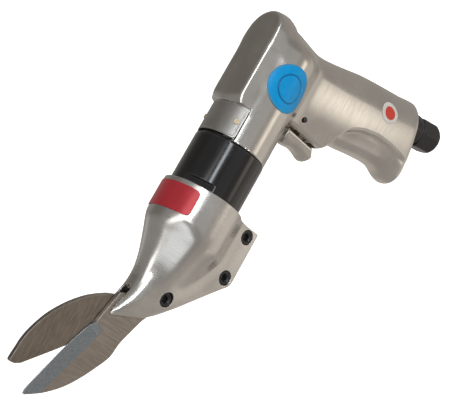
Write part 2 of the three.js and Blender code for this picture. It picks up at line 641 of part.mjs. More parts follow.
// ---- Air inlet and exhaust ---------------------------------------------------------------------
const hexPlan = turned([[19.4, 0], [19.4, 11.2], [34.5, 11.2], [HEX_END_S, 10],
  [HEX_END_S, 0]], 6);
const hexRound = turned([[19, 0], [19, 10.9], [35, 10.9], [HEX_END_S, 9.6],
  [HEX_END_S, 0]], 24);
const COLLAR_S = HEEL_S + 0.3;
const inletBushing = cut(
  unite(
    rod(-8.4, COLLAR_S + 1, INLET_SPIGOT_R, 24),
    turned([[COLLAR_S, 0], [COLLAR_S, 10.2], [COLLAR_S + 0.6, 10.8], [16.6, 10.8],
      [17.2, 10.2], [17.2, 9.4], [19.5, 9.4], [19.5, 0]], 24),
    hexPlan.intersect(hexRound),
  ),
  rod(-9, -5.5, 6.6, 20),
  rod(-6, 16, 4.2, 20),
  rod(15, 38, 5.9, 24),
);
place(tool, 'inlet_bushing', alongInlet(inletBushing), BLACK_STEEL);
const strainer = cut(
  turned([[-8, 0], [-8, 6.3], [-6.6, 6.3], [-6.6, 3.4], [3, 3.4], [3, 0]], 20),
  rod(-9, 2, 2.6, 16),
  rod(1, 4, 1.2, 12),
);
place(tool, 'inlet_strainer', alongInlet(strainer), BRASS);

const SLOT_PITCH = 4.5;
const SLOT_WIDTH = 2.2;
const grilleSlots = [0, 1, 2, 3].map((i) => {
  const start = -30.5 + i * SLOT_PITCH;
  return boxOf([0, 12], [-6.5, 6.5], [start, start + SLOT_WIDTH]);
});
const grillePlate = boxOf([HEEL_S - 1.8, HEEL_S - 0.2], [-9.4, 9.4], [-33.4, -12.1]);
place(tool, 'exhaust_grille', alongInlet(cut(grillePlate, ...grilleSlots)), BLACK_STEEL);

export default root;
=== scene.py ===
import math

import bpy
import numpy as np
from mathutils import Matrix, Vector


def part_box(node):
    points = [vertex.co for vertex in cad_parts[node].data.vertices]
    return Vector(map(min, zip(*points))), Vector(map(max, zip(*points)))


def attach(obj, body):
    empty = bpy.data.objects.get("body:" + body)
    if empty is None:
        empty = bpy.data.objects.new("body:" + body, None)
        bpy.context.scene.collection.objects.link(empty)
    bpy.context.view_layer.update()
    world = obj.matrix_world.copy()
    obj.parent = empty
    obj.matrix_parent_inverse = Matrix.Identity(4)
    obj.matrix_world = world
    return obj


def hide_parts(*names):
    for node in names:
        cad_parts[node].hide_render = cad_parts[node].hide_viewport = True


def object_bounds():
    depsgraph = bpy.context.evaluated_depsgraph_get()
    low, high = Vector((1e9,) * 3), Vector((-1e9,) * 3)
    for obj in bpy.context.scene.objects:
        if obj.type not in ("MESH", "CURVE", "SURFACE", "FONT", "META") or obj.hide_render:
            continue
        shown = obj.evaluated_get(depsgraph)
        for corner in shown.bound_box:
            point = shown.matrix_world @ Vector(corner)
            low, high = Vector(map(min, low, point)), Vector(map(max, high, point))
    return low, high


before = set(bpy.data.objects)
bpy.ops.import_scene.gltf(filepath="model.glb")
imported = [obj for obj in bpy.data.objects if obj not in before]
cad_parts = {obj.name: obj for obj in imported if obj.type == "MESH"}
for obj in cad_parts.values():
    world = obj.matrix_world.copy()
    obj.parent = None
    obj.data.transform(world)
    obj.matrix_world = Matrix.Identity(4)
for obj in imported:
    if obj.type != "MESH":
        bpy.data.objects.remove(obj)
CAD_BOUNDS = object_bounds()

# ---- Driving dimensions ----
# The design is drawn in millimetres from the motor axis at the front face of the housing:
# the nose points along -X, the handle hangs along -Z, and -Y is the side with the screw heads.
MM = 0.001
PAD_TOP = 23.6
PAD_HALF = 13.2
PAD_REAR_CENTRE = 71.1
RIM_X = 0.3
HOUSING_LOW, HOUSING_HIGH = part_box("motor_housing")
ORIGIN = np.array([HOUSING_LOW.x / MM - RIM_X, 0.0, HOUSING_HIGH.z / MM - PAD_TOP])

BARREL_R = 22.3
BARREL_FLAT_END = 62.0
BARREL_CAP = 15.4
BARREL_POWER = 3
COLLAR_R = 22.5
COLLAR_LENGTH = 32.0
HEAD_REAR = -32.1
SLOT_HALF = 3.6
SCREWS = ((-37.1, -35.9), (-64.7, -36.2), (-95.2, -5.3))
BLADE_GAP = 0.1
BLADE_THICKNESS = 3.3
PIVOT = SCREWS[2]
BLADE_HOLE_R = 4.65
# Cutting edge of the lower blade, and the strip that is ground along it.
EDGE_START = (-181.0, 43.6)
EDGE_END = (-126.0, 24.2)
EDGE_RUN = (EDGE_END[0] - EDGE_START[0], EDGE_END[1] - EDGE_START[1])
EDGE_LENGTH = math.hypot(*EDGE_RUN)
BEVEL_WIDTH = 7.5
BEVEL_DROP = 2.6
TRIGGER_PIN = (41.5, -28.5)
VALVE_Z = -38.5
# The air inlet leaves the heel along a tilted axis; HEEL_S is the heel's place along it.
INLET_BASE = (89.4, -107.6)
INLET_TILT = math.radians(12)
HEEL_S = 9.0
# Centres of the plates and labels, and half sizes along and across.
PLATE_X = 11.75
PLATE_HALF_LENGTH = 9.75
PLATE_HALF_ANGLE = math.radians(49)
LABEL_X = -43.25
LABEL_HALF_LENGTH = 8.25
LABEL_HALF_ANGLE = math.radians(48)
BADGE_CENTRE = (45.6, 0.9)
BADGE_HALF = (14.4, 15.4)
STICKER_CENTRE = (83.8, -86.4)
STICKER_HALF = (6.6, 7.6)
QUICK_FACTOR = 1.0


# ---- Distance functions ----
# Each one takes coordinate arrays in millimetres and is negative inside the shape.
def join(a, b, blend):
    """Union with a smooth fillet about as wide as blend."""
    h = np.maximum(blend - np.abs(a - b), 0) / blend
    return np.minimum(a, b) - h ** 3 * blend / 6


def meet(a, b, blend):
    """Intersection with a rounded edge."""
    return -join(-a, -b, blend)


def cut(a, b, blend):
    """a without b, with a rounded rim."""
    return meet(a, -b, blend)


def span(v, low, high):
    """A slab between two parallel planes."""
    return np.abs(v - (low + high) / 2) - (high - low) / 2


def rod(along, u, v, low, high, radius, edge=0.4):
    """A cylinder from low to high, with its ends rounded by edge."""
    return meet(np.hypot(u, v) - radius, span(along, low, high), edge)


def box(x, y, z, xs, ys, zs, edge=0.4):
    """A box from three (low, high) ranges."""
    return meet(meet(span(x, *xs), span(y, *ys), edge), span(z, *zs), edge)


def polygon(u, v, points):
    """Signed distance to a closed outline."""
    best = None
    inside = False
    for (a0, b0), (a1, b1) in zip(points, points[1:] + points[:1]):
        du, dv = a1 - a0, b1 - b0
        pu, pv = u - a0, v - b0
        t = np.clip((pu * du + pv * dv) / (du * du + dv * dv), 0, 1)
        gap = (pu - t * du) ** 2 + (pv - t * dv) ** 2
        best = gap if best is None else np.minimum(best, gap)
        if dv:
            crosses = ((b0 > v) != (b1 > v)) & (pu < pv * du / dv)
            inside = inside ^ crosses
    return np.where(inside, -1, 1) * np.sqrt(best)


def spline(points, steps):
    """Points on a smooth curve through the given ones, with steps to each stretch."""
    pts = [points[0]] + list(points) + [points[-1]]
    out = []
    for a, b, c, d in zip(pts, pts[1:], pts[2:], pts[3:]):
        for i in range(steps):
            t = i / steps
            out.append(tuple(
                0.5 * (2 * q + (r - p) * t + (2 * p - 5 * q + 4 * r - s) * t * t
                       + (3 * q - p - 3 * r + s) * t ** 3)
                for p, q, r, s in zip(a, b, c, d)))
    return out + [tuple(points[-1])]


def smooth_table(pairs, softness):
    """A soft curve through (position, value) pairs, as a function."""
    step = 0.25
    margin = 20
    pairs = sorted(pairs)
    at = np.arange(pairs[0][0] - margin, pairs[-1][0] + margin, step)
    values = np.interp(at, [p for p, _ in pairs], [v for _, v in pairs])
    reach = int(3 * softness / step)
    weights = np.exp(-0.5 * (np.arange(-reach, reach + 1) * step / softness) ** 2)
    padded = np.pad(values, reach, mode="edge")
    values = np.convolve(padded, weights / weights.sum(), mode="valid")
    return lambda p: np.interp(p, at, values)


def oval(u, v, power):
    """Distance, in units of one, to a rounded unit square; u and v are scaled coordinates."""
    return (np.abs(u) ** power + np.abs(v) ** power) ** (1 / power)


# ---- From a distance function to a mesh ----
def lattice_surface(field, low, high, step):
    """Quads that follow the zero surface of field, and their corner points."""
    axes = [np.arange(a, b + step, step) for a, b in zip(low, high)]
    value = field(axes[0][:, None, None], axes[1][None, :, None], axes[2][None, None, :])
    value = np.broadcast_to(value, tuple(len(a) for a in axes))
    solid = value < 0
    shape = solid.shape
    strides = (shape[1] * shape[2], shape[2], 1)
    total = solid.size
    sums = np.zeros((3, total))
    count = np.zeros(total)
    faces = []
    for axis in range(3):
        near = [slice(None)] * 3
        far = [slice(None)] * 3
        near[axis], far[axis] = slice(0, -1), slice(1, None)
        near, far = tuple(near), tuple(far)
        edge = np.argwhere(solid[near] != solid[far])
        first = value[near][tuple(edge.T)]
        second = value[far][tuple(edge.T)]
        point = edge.astype(float)
        point[:, axis] += first / (first - second)
        base = edge @ np.array(strides)
        b, c = strides[(axis + 1) % 3], strides[(axis + 2) % 3]
        cells = np.stack([base - b - c, base - c, base, base - b], axis=1)
        for column in cells.T:
            count += np.bincount(column, minlength=total)
            for i in range(3):
                sums[i] += np.bincount(column, weights=point[:, i], minlength=total)
        outward = first < 0
        faces.append(np.where(outward[:, None], cells, cells[:, ::-1]))
    used = np.flatnonzero(count)
    number = np.full(total, -1)
    number[used] = np.arange(len(used))
    points = (sums[:, used] / count[used]).T * step + np.array(low)
    return points, number[np.concatenate(faces)]


def slope(field, points):
    """Gradient of field at each point."""
    reach = 0.04
    grad = np.empty_like(points)
    for axis in range(3):
        shift = np.zeros(3)
        shift[axis] = reach
        ahead = field(*(points + shift).T)
        behind = field(*(points - shift).T)
        grad[:, axis] = (ahead - behind) / (2 * reach)
    return grad


def settle(field, points, step):
    """Moves points onto the zero surface and returns them with their normals."""
    least_slope = 0.05
    longest_move = 0.6 * step
    tiny = 1e-9
    for _ in range(3):
        grad = slope(field, points)
        size = np.maximum((grad ** 2).sum(1), least_slope)
        shift = grad * (field(*points.T) / size)[:, None]
        length = np.linalg.norm(shift, axis=1, keepdims=True)
        points = points - shift * np.minimum(1, longest_move / np.maximum(length, tiny))
    grad = slope(field, points)
    return points, grad / np.maximum(np.linalg.norm(grad, axis=1, keepdims=True), tiny)


def new_piece(name, points, faces, material, body, stands_for, normals=None):
    """A mesh object from points in design millimetres, riding on a body in place of a CAD node."""
    mesh = bpy.data.meshes.new(name)
    mesh.from_pydata(((points + ORIGIN) * MM).tolist(), [], [list(map(int, f)) for f in faces])
    mesh.polygons.foreach_set("use_smooth", [True] * len(mesh.polygons))
    if normals is not None:
        mesh.normals_split_custom_set_from_vertices(normals.tolist())
    piece = bpy.data.objects.new(name, mesh)
    bpy.context.scene.collection.objects.link(piece)
    mesh.materials.append(material)
    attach(piece, body)
    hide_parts(stands_for)
    return piece


def sculpt(name, stands_for, field, low, high, step, material, body="tool_body"):
    """A piece whose surface is the zero surface of field, looked for from low to high."""
    step = step * QUICK_FACTOR
    points, faces = lattice_surface(field, low, high, step)
    points, normals = settle(field, points, step)
    return new_piece(name, points, faces, material, body, stands_for, normals)


# ---- Materials ----
class NodeTree:
    """A node tree, with short calls to add what it needs."""

    def __init__(self, tree):
        self.tree = tree

    def add(self, kind, **settings):
        node = self.tree.nodes.new(kind)
        for key, value in settings.items():
            setattr(node, key, value)
        return node

    def wire(self, source, node, socket):
        """Links source to a socket, or sets the socket when source is a number."""
        if isinstance(source, (int, float)):
            node.inputs[socket].default_value = source
        else:
            self.tree.links.new(source, node.inputs[socket])

    def math(self, operation, *values):
        node = self.add("ShaderNodeMath", operation=operation)
        for socket, value in enumerate(values):
            self.wire(value, node, socket)
        return node.outputs[0]


class Shader(NodeTree):
    """A material, whose patterns are laid out in object coordinates."""

    def __init__(self, name):
        self.material = bpy.data.materials.new(name)
        self.material.use_nodes = True
        super().__init__(self.material.node_tree)
        self.surface = self.tree.nodes["Principled BSDF"]
        self.place = self.add("ShaderNodeTexCoord").outputs["Object"]

    def stretched(self, scale, centre=(0, 0, 0)):
        """Object coordinates, scaled and then moved."""
        node = self.add("ShaderNodeMapping")
        node.inputs["Location"].default_value = centre
        node.inputs["Scale"].default_value = scale
        self.wire(self.place, node, "Vector")
        return node.outputs["Vector"]

    def noise(self, scale, detail, stretch=(1, 1, 1), roughness=0.55):
        """A noise pattern; a small stretch along an axis draws it out along that axis."""
        node = self.add("ShaderNodeTexNoise")
        node.inputs["Scale"].default_value = scale
        node.inputs["Detail"].default_value = detail
        node.inputs["Roughness"].default_value = roughness
        self.wire(self.stretched(stretch), node, "Vector")
        return node.outputs["Fac"]

    def remap(self, value, low, high, source_low=0.3, source_high=0.7):
        """Maps the source range of value onto low to high, and clamps it."""
        node = self.add("ShaderNodeMapRange")
        self.wire(value, node, "Value")
        node.inputs["From Min"].default_value = source_low
        node.inputs["From Max"].default_value = source_high
        node.inputs["To Min"].default_value = low
        node.inputs["To Max"].default_value = high
        return node.outputs["Result"]

    def mix(self, factor, a, b):
        """The colour a where factor is zero, and b where it is one."""
        node = self.add("ShaderNodeMix", data_type="RGBA")
        self.wire(factor, node, 0)
        for socket, value in ((6, a), (7, b)):
            if isinstance(value, tuple):
                node.inputs[socket].default_value = (*value, 1)
            else:
                self.tree.links.new(value, node.inputs[socket])
        return node.outputs[2]

    def bump(self, height, strength, distance, after=None):
        node = self.add("ShaderNodeBump")
        node.inputs["Strength"].default_value = strength
        node.inputs["Distance"].default_value = distance
        self.wire(height, node, "Height")
        if after is not None:
            self.wire(after, node, "Normal")
        return node.outputs["Normal"]

    def oval_share(self, centre, half):
        """Distance from the middle of an oval in the XZ plane: one on its rim (millimetres)."""
        scale = tuple(1 / (h * MM) if h else 0.0 for h in half)
        shift = tuple(-(c + o) / h if h else 0.0 for c, o, h in zip(centre, ORIGIN, half))
        node = self.add("ShaderNodeVectorMath", operation="LENGTH")
        self.wire(self.stretched(scale, shift), node, 0)
        return node.outputs["Value"]

    def beyond(self, direction, start, limit):
        """One where the way along direction from start is over limit (mm), else nothing."""
        fade = 0.4
        node = self.add("ShaderNodeVectorMath", operation="DOT_PRODUCT")
        self.wire(self.place, node, 0)
        node.inputs[1].default_value = direction
        plane = sum((s + o) * d for s, o, d in zip(start, ORIGIN, direction)) + limit
        return self.remap(node.outputs["Value"], 0, 1, (plane - fade) * MM, (plane + fade) * MM)

    def edges(self):
        """One along worn outer edges, nothing elsewhere."""
        even, sharp = 0.5, 0.56
        geometry = self.add("ShaderNodeNewGeometry")
        return self.remap(geometry.outputs["Pointiness"], 0, 1, even, sharp)

    def finish(self, colour, roughness, normal=None, metallic=1.0, coat=0.0):
        """Wires the surface up and returns the material."""
        if isinstance(colour, tuple):
            self.surface.inputs["Base Color"].default_value = (*colour, 1)
        else:
            self.wire(colour, self.surface, "Base Color")
        self.wire(roughness, self.surface, "Roughness")
        self.surface.inputs["Metallic"].default_value = metallic
        self.surface.inputs["Coat Weight"].default_value = coat
        self.surface.inputs["Coat Roughness"].default_value = 0.08
        if normal is not None:
            self.wire(normal, self.surface, "Normal")
        return self.material


def shade(colour, factor):
    """A darker or paler version of a colour."""
    return tuple(min(1, c * factor) for c in colour)


def cast_metal(name, colour, dark, rough, grain, grain_depth=0.00002):
    """Buffed aluminium casting: cloudy tone, fine buffing lines, small pits and worn edges."""
    s = Shader(name)
    cloud = s.noise(38, 4)
    lines = s.noise(420, 4, stretch=grain, roughness=0.6)
    pits = s.noise(900, 2)
    tone = s.mix(s.remap(cloud, 0, 1, 0.35, 0.65), dark, colour)
    tone = s.mix(s.math("MULTIPLY", s.edges(), 0.35), tone, (0.86, 0.84, 0.8))
    roughness = s.math("ADD", s.remap(cloud, rough - 0.035, rough + 0.035),
                       s.remap(lines, -0.03, 0.03))
    normal = s.bump(lines, 0.35, grain_depth)
    normal = s.bump(s.remap(pits, 0, 1, 0.32, 0.4), 0.25, 0.00002, after=normal)
    return s.finish(tone, roughness, normal)


def machined_metal(name, colour, rough, grain=(1, 1, 1), wear=(0.7, 0.68, 0.64), metallic=1.0,
                   coat=0.0, depth=0.000015, streaks=0.0):
    """Turned or ground metal with a directional grain and slight tone changes."""
    s = Shader(name)
    cloud = s.noise(60, 3)
    lines = s.noise(500, 3, stretch=grain)
    tone = s.mix(s.remap(cloud, 0, 1), shade(colour, 0.82), colour)
    if streaks:
        scratch = s.noise(240, 4, stretch=grain, roughness=0.7)
        tone = s.mix(s.remap(scratch, 0, 1, 0.42, 0.66), tone, shade(colour, 1 + streaks))
    tone = s.mix(s.math("MULTIPLY", s.edges(), 0.3), tone, wear)
    roughness = s.math("ADD", s.remap(cloud, rough - 0.03, rough + 0.03),
                       s.remap(lines, -0.04, 0.04))
    return s.finish(tone, roughness, s.bump(lines, 0.3, depth), metallic, coat)


def ground_bevel(name, flat, ground, pale_ground):
    """The blade finish with a bluer, freshly ground strip along the cutting edge."""
    s = Shader(name)
    lines = s.noise(260, 4, stretch=(3.4, 1, 0.25), roughness=0.7)
    cloud = s.noise(60, 3)
    tone = s.mix(s.remap(cloud, 0, 1), shade(flat, 0.84), flat)
    tone = s.mix(s.remap(lines, 0, 1, 0.42, 0.66), tone, shade(flat, 1.2))
    du, dv = EDGE_RUN
    start = (EDGE_START[0], 0, EDGE_START[1])
    inside = s.beyond((-dv / EDGE_LENGTH, 0, du / EDGE_LENGTH), start, -BEVEL_WIDTH)
    short = s.beyond((-du / EDGE_LENGTH, 0, -dv / EDGE_LENGTH), start, -EDGE_LENGTH)
    strip = s.math("MULTIPLY", inside, short)
    speckle = s.noise(900, 3)
    tone = s.mix(strip, tone, s.mix(s.remap(speckle, 0, 1), ground, pale_ground))
    tone = s.mix(s.math("MULTIPLY", s.edges(), 0.3), tone, (0.75, 0.75, 0.75))
    roughness = s.math("ADD", s.remap(cloud, 0.33, 0.39), s.remap(lines, -0.04, 0.04))
    return s.finish(tone, roughness, s.bump(lines, 0.3, 0.00005))


def printed(s, tone, smoothest, roughest, metallic=0.0, coat=0.0):
    """Finishes a label or badge, whose surface has a slight orange peel."""
    normal = s.bump(s.noise(160, 2), 0.08, 0.00005)
    roughness = s.remap(s.noise(120, 2), smoothest, roughest)
    return s.finish(tone, roughness, normal, metallic, coat)


def badge_paint():
    """Blue enamel with a darker engraved ring and a thin bright rim, and nothing written on it."""
    s = Shader("badge_blue")
    # The badge bends round the barrel, so it looks a little shorter from the side than it is.
    side_half = (BADGE_HALF[0], 0, 14.3)
    share = s.oval_share((BADGE_CENTRE[0], 0, BADGE_CENTRE[1]), side_half)
    mottle = s.noise(240, 3)
    tone = s.mix(s.remap(mottle, 0, 1), (0.0, 0.34, 0.78), (0.004, 0.4, 0.88))
    ring = s.math("ABSOLUTE", s.math("SUBTRACT", share, 0.585))
    tone = s.mix(s.remap(ring, 0.8, 0, 0.02, 0.045), tone, (0.002, 0.1, 0.28))
    tone = s.mix(s.remap(share, 0, 0.6, 0.94, 0.97), tone, (0.12, 0.3, 0.42))
    s.surface.inputs["Specular IOR Level"].default_value = 0.25
    return printed(s, tone, 0.26, 0.36)


def label_foil():
    """Plain red foil with a faint mottle."""
    s = Shader("label_red")
    red = (0.56, 0.03, 0.045)
    tone = s.mix(s.remap(s.noise(240, 3), 0, 1), shade(red, 0.9), red)
    return printed(s, tone, 0.29, 0.39, metallic=0.3, coat=0.3)


def sticker_paint():
    """White foil with a plain red dot."""
    s = Shader("sticker_white")
    dot_half = (4.1, 0, 4.9)
    share = s.oval_share((STICKER_CENTRE[0], 0, STICKER_CENTRE[1]), dot_half)
    mottle = s.noise(260, 3)
    white = s.mix(s.remap(mottle, 0, 1), (0.74, 0.72, 0.68), (0.84, 0.83, 0.8))
    tone = s.mix(s.remap(share, 1, 0, 0.96, 1.04), white, (0.72, 0.05, 0.025))
    return printed(s, tone, 0.35, 0.45)


ALUMINIUM = cast_metal("buffed_aluminium", (0.63, 0.61, 0.58), (0.56, 0.54, 0.51), 0.24,
                       grain=(0.25, 0.25, 2.2))
HEAD_METAL = cast_metal("brushed_head_aluminium", (0.66, 0.645, 0.62), (0.58, 0.565, 0.54), 0.26,
                        grain=(2.6, 0.12, 0.12), grain_depth=0.00003)
BLACK_GLOSS = machined_metal("black_oxide", (0.012, 0.012, 0.013), 0.2, grain=(3, 0.1, 0.1),
                             wear=(0.1, 0.1, 0.1), metallic=0.4, coat=0.5)
BLACK_SATIN = machined_metal("black_phosphate", (0.018, 0.018, 0.019), 0.36,
                             wear=(0.14, 0.14, 0.14), metallic=0.3, coat=0.15)
BRIGHT_STEEL = machined_metal("ground_steel", (0.5, 0.49, 0.47), 0.25, grain=(4, 0.3, 0.3))
SATIN_PLATE = machined_metal("satin_plate", (0.46, 0.45, 0.43), 0.42, grain=(0.2, 3, 3))
BLADE_STEEL = ground_bevel("blade_steel", (0.36, 0.32, 0.285), (0.25, 0.27, 0.285),
                           (0.34, 0.365, 0.38))
DARK_BLADE_STEEL = machined_metal("dark_blade_steel", (0.25, 0.215, 0.185), 0.34,
                                  grain=(0.5, 1, 3.4), wear=(0.6, 0.6, 0.6), depth=0.00005,
                                  streaks=0.3)
BRASS = machined_metal("turned_brass", (0.58, 0.42, 0.17), 0.28, grain=(4, 0.3, 0.3))
RUBBER = machined_metal("seal_rubber", (0.02, 0.02, 0.021), 0.7, wear=(0.06, 0.06, 0.06),
                        metallic=0)
COMPOSITE = machined_metal("vane_composite", (0.24, 0.13, 0.06), 0.6, grain=(2, 2, 0.4),
                           wear=(0.4, 0.26, 0.14), metallic=0)
BLUE = badge_paint()
RED = label_foil()
WHITE = sticker_paint()


# ---- Motor housing ----
# Handle stations: height, front x of the palm body, rear x, half width.
PALM = [
    (25, 62, 73, 12.6), (20, 61, 79.5, 12.8), (14, 60, 83.4, 13.4), (9, 56, 84.2, 13.5),
    (2, 50, 83.8, 13.6), (-8, 39, 82.8, 13.8), (-14, 36, 82.4, 13.9), (-21, 34.2, 82.4, 14),
    (-27, 34.2, 83.6, 14), (-36, 34.2, 86.1, 14), (-50, 34.2, 90.6, 14.1), (-54, 34.8, 92, 14.3),
    (-56.5, 39, 92.8, 14.4), (-59, 47.4, 93.6, 14.5), (-63, 53, 94.6, 14.7), (-73, 58.5, 97.1, 14.9),
    (-86, 62.6, 100, 15), (-99, 64, 102.9, 15), (-112, 64, 105.4, 14.9), (-126, 63, 107.4, 14.8),
]
# Finger side of the handle: height, front x, half width.
FINGER = [
    (-48, 40, 10.5), (-57.5, 40.5, 11.2), (-63, 43.8, 11.8), (-73, 46, 12.2), (-86, 49.4, 12.4),
    (-99, 52.2, 12.6), (-107, 53, 13), (-112.5, 52.2, 13.4), (-118, 50.4, 13.8), (-126, 50, 13.8),
]
pad_half = smooth_table([(24, PAD_HALF), (15, 15.4), (9, 14.2), (2, 12.6)], 1.5)
palm_front = smooth_table([(z, front) for z, front, _, _ in PALM], 1.1)
palm_rear = smooth_table([(z, rear) for z, _, rear, _ in PALM], 3)
palm_half = smooth_table([(z, half) for z, _, _, half in PALM], 3)
finger_front = smooth_table([(z, front) for z, front, _ in FINGER], 2)
finger_half = smooth_table([(z, half) for z, _, half in FINGER], 3)
palm_reach = smooth_table([(-66, 6), (-56, 3.4)], 1.5)
palm_crest = smooth_table([(-126, 80), (-38, 62), (-20, 58)], 4)
rear_reach = smooth_table([(-60, 19), (-30, 15), (0, 12)], 4)
# The palm's sides bulge: half width lost per square millimetre from the crest.
PALM_CROWN = 0.004
PALM_TOP = 21.5
FINGER_TOP = -50
FINGER_DEPTH = 26
PAD_UNDERSIDE = 6
PAD_FRONT = [(20.3, 8), (21.3, 20.6), (29, 27), (110, 27), (110, 8)]
# Bores on the motor axis: from, to, radius and rounding of the rim.
COLLAR_SEAT = (-3, 10, 20.9, 0.7)
LINER_BORE = (9, 60.3, 19.9, 0.4)
BEARING_BORE = (60, 70, 14.5, 0.4)
VALVE_BORE = (37, 72, 9)
TRIGGER_POCKET = ((28, 38.2), (-7.4, 7.4), (-52, -25.8))
POCKET_CORNER = 1.6
PIN_HOLE_R = 1.65
# Passages in the heel, measured along the air inlet's axis and across it.
AIR_BORE = (-50, 3, 6.5)
INLET_BORE = (-9, 20, 9.2)
EXHAUST_DUCT = ((-4, 20), (-8, 8), (-32, -13.5))
GRILLE_SEAT = ((HEEL_S - 2.1, 20), (-9.7, 9.7), (-33.7, -11.8))


def along_inlet(x, z):
    """Distances along the air inlet's axis and across it."""
    dx, dz = x - INLET_BASE[0], z - INLET_BASE[1]
    sin, cos = math.sin(INLET_TILT), math.cos(INLET_TILT)
    return dx * sin - dz * cos, dx * cos + dz * sin


def level(x, z):
    """Height before the heel is tilted square to the air inlet."""
    tilt_start, tilt_range, hinge_x = -98, 24, 50
    low = np.clip((tilt_start - z) / tilt_range, 0, 1)
    return z - math.tan(INLET_TILT) * (x - hinge_x) * low


def slab(x, y, front, rear, half, front_reach, back_reach, front_power, back_power):
    """Cross-section with flat sides and rounded ends, as a distance."""
    fu = np.maximum(front + front_reach - x, 0) / front_reach
    ru = np.maximum(x - rear + back_reach, 0) / back_reach
    v = np.abs(y) / half
    ahead = fu > 0
    power = np.where(ahead, front_power, back_power)
    u = np.where(ahead, fu, ru)
    reach = np.where(ahead, front_reach, back_reach)
    n = np.maximum(oval(u, v, power), 1e-3)
    gu = (u / n) ** (power - 1) / reach
    gv = (v / n) ** (power - 1) / half
    least_slope = 1 / 30
    return (n - 1) / np.maximum(np.hypot(gu, gv), least_slope)


def barrel(x, y, z):
    """The motor barrel, with its domed rear end."""
    radius = np.hypot(y, z)
    u = np.maximum(x - BARREL_FLAT_END, 0) / BARREL_CAP
    n = oval(u, radius / BARREL_R, BARREL_POWER)
    gu = (u / n) ** (BARREL_POWER - 1) / BARREL_CAP
    gv = (radius / BARREL_R / n) ** (BARREL_POWER - 1) / BARREL_R
    return (n - 1) / np.maximum(np.hypot(gu, gv), 1 / BARREL_R)


def top_pad(x, y, z):
    """The flat pad on the barrel, round at the rear and sloping at the front."""
    from_rear = np.hypot(x - PAD_REAR_CENTRE, y)
    plan = np.where(x < PAD_REAR_CENTRE, np.abs(y), from_rear) - pad_half(z)
    front = polygon(x, z, PAD_FRONT)
    pad = meet(meet(plan, front, 4), z - PAD_TOP, 4.5)
    return meet(pad, PAD_UNDERSIDE - z, 2)


def grip(x, y, z):
    """The handle: a palm slab, and a narrower finger side that starts below the trigger."""
    height = level(x, z)
    half = palm_half(height) - PALM_CROWN * (x - palm_crest(height)) ** 2
    palm = slab(x, y, palm_front(height), palm_rear(height), half,
                palm_reach(height), rear_reach(height), 2.4, 2.2)
    palm = meet(palm, z - PALM_TOP, 5)
    front = finger_front(height)
    finger = slab(x, y, front, front + FINGER_DEPTH, finger_half(height), 15.5, 8.0, 2.15, 2.2)
    finger = meet(finger, z - FINGER_TOP, 2)
    return join(palm, finger, 1.8)


def housing_outside(x, y, z):
    """The outside of the casting, cut square at the collar and at the heel."""
    body = join(barrel(x, y, z), grip(x, y, z), 9)
    body = join(body, top_pad(x, y, z), 5)
    s, _ = along_inlet(x, z)
    body = meet(body, s - HEEL_S, 5.5)
    return meet(body, RIM_X - x, 1.2)


def plate_recess(x, y, z):
    """Depth of the shallow seat for the name plate."""
    depth, wall, half_length, half_degrees = 0.7, 0.6, 10.45, 51
    phi = np.degrees(np.arctan2(-y, z))
    along = np.clip((half_length - np.abs(x - PLATE_X)) / wall, 0, 1)
    around = np.clip((half_degrees - np.abs(phi)) * math.radians(BARREL_R) / wall, 0, 1)
    return depth * along * around


def housing(x, y, z):
    """The casting with all its bores and pockets."""
    body = housing_outside(x, y, z) + plate_recess(x, y, z)
    s, t = along_inlet(x, z)
    for low, high, radius, edge in (COLLAR_SEAT, LINER_BORE, BEARING_BORE):
        body = cut(body, rod(x, y, z, low, high, radius), edge)
    body = cut(body, rod(x, y, z - VALVE_Z, *VALVE_BORE), 0.4)
    body = cut(body, box(x, y, z, *TRIGGER_POCKET, POCKET_CORNER), 0.7)
    pin_hole = rod(y, x - TRIGGER_PIN[0], z - TRIGGER_PIN[1], -18, 18, PIN_HOLE_R)
    body = cut(body, pin_hole, 0.5)
    body = cut(body, rod(s, t, y, *AIR_BORE), 0.4)
    body = cut(body, rod(s, t, y, *INLET_BORE), 0.6)
    body = cut(body, box(s, y, t, *EXHAUST_DUCT, 1.0), 0.4)
    return cut(body, box(s, y, t, *GRILLE_SEAT, 1.2), 0.6)


def make_housing():
    """The motor housing."""
    sculpt("motor_housing_casting", "motor_housing", housing, (-1, -24, -133), (110, 24, 26),
           0.7, ALUMINIUM)


# ---- Head ----
# The round part of the head, which narrows towards the nose.
head_radius = smooth_table([
    (-30, 25.5), (-56, 25.3), (-60, 24.8), (-64, 23.3), (-68, 21.5), (-74, 18.8), (-81, 15.4),
    (-88, 11), (-95, 4), (-100, -3),
], 1.6)
# Side view of the flat-sided part: along the top to the nose, and back below to the lug.
CHEEK = (
    [(-60, 12), (-72, 13), (-79, 13.6), (-85, 14.3)]
    + spline([(-92, 14.9), (-99, 15.9), (-105.5, 17.6), (-111, 19.5), (-116, 20.6), (-119.6, 21)], 2)
    + [(-120.4, 20.2), (-120, 18), (-115.5, 8.5), (-110.6, 0), (-109, -2.2), (-107, -4.4),
       (-103.1, -8.3), (-69.8, -40.2), (-68.6, -41.6), (-66.5, -42.8), (-64, -43.2),
       (-34, -43.2), (-28, -43.2), (-28, -15)]
)
nose_half = smooth_table([(-30, 10), (-100, 10), (-106, 9.5), (-111, 8.3), (-115.5, 6.5),
                          (-119.6, 4), (-121, 2)], 1)
edge_softness = smooth_table([(-8, 1.6), (6, 5)], 3)
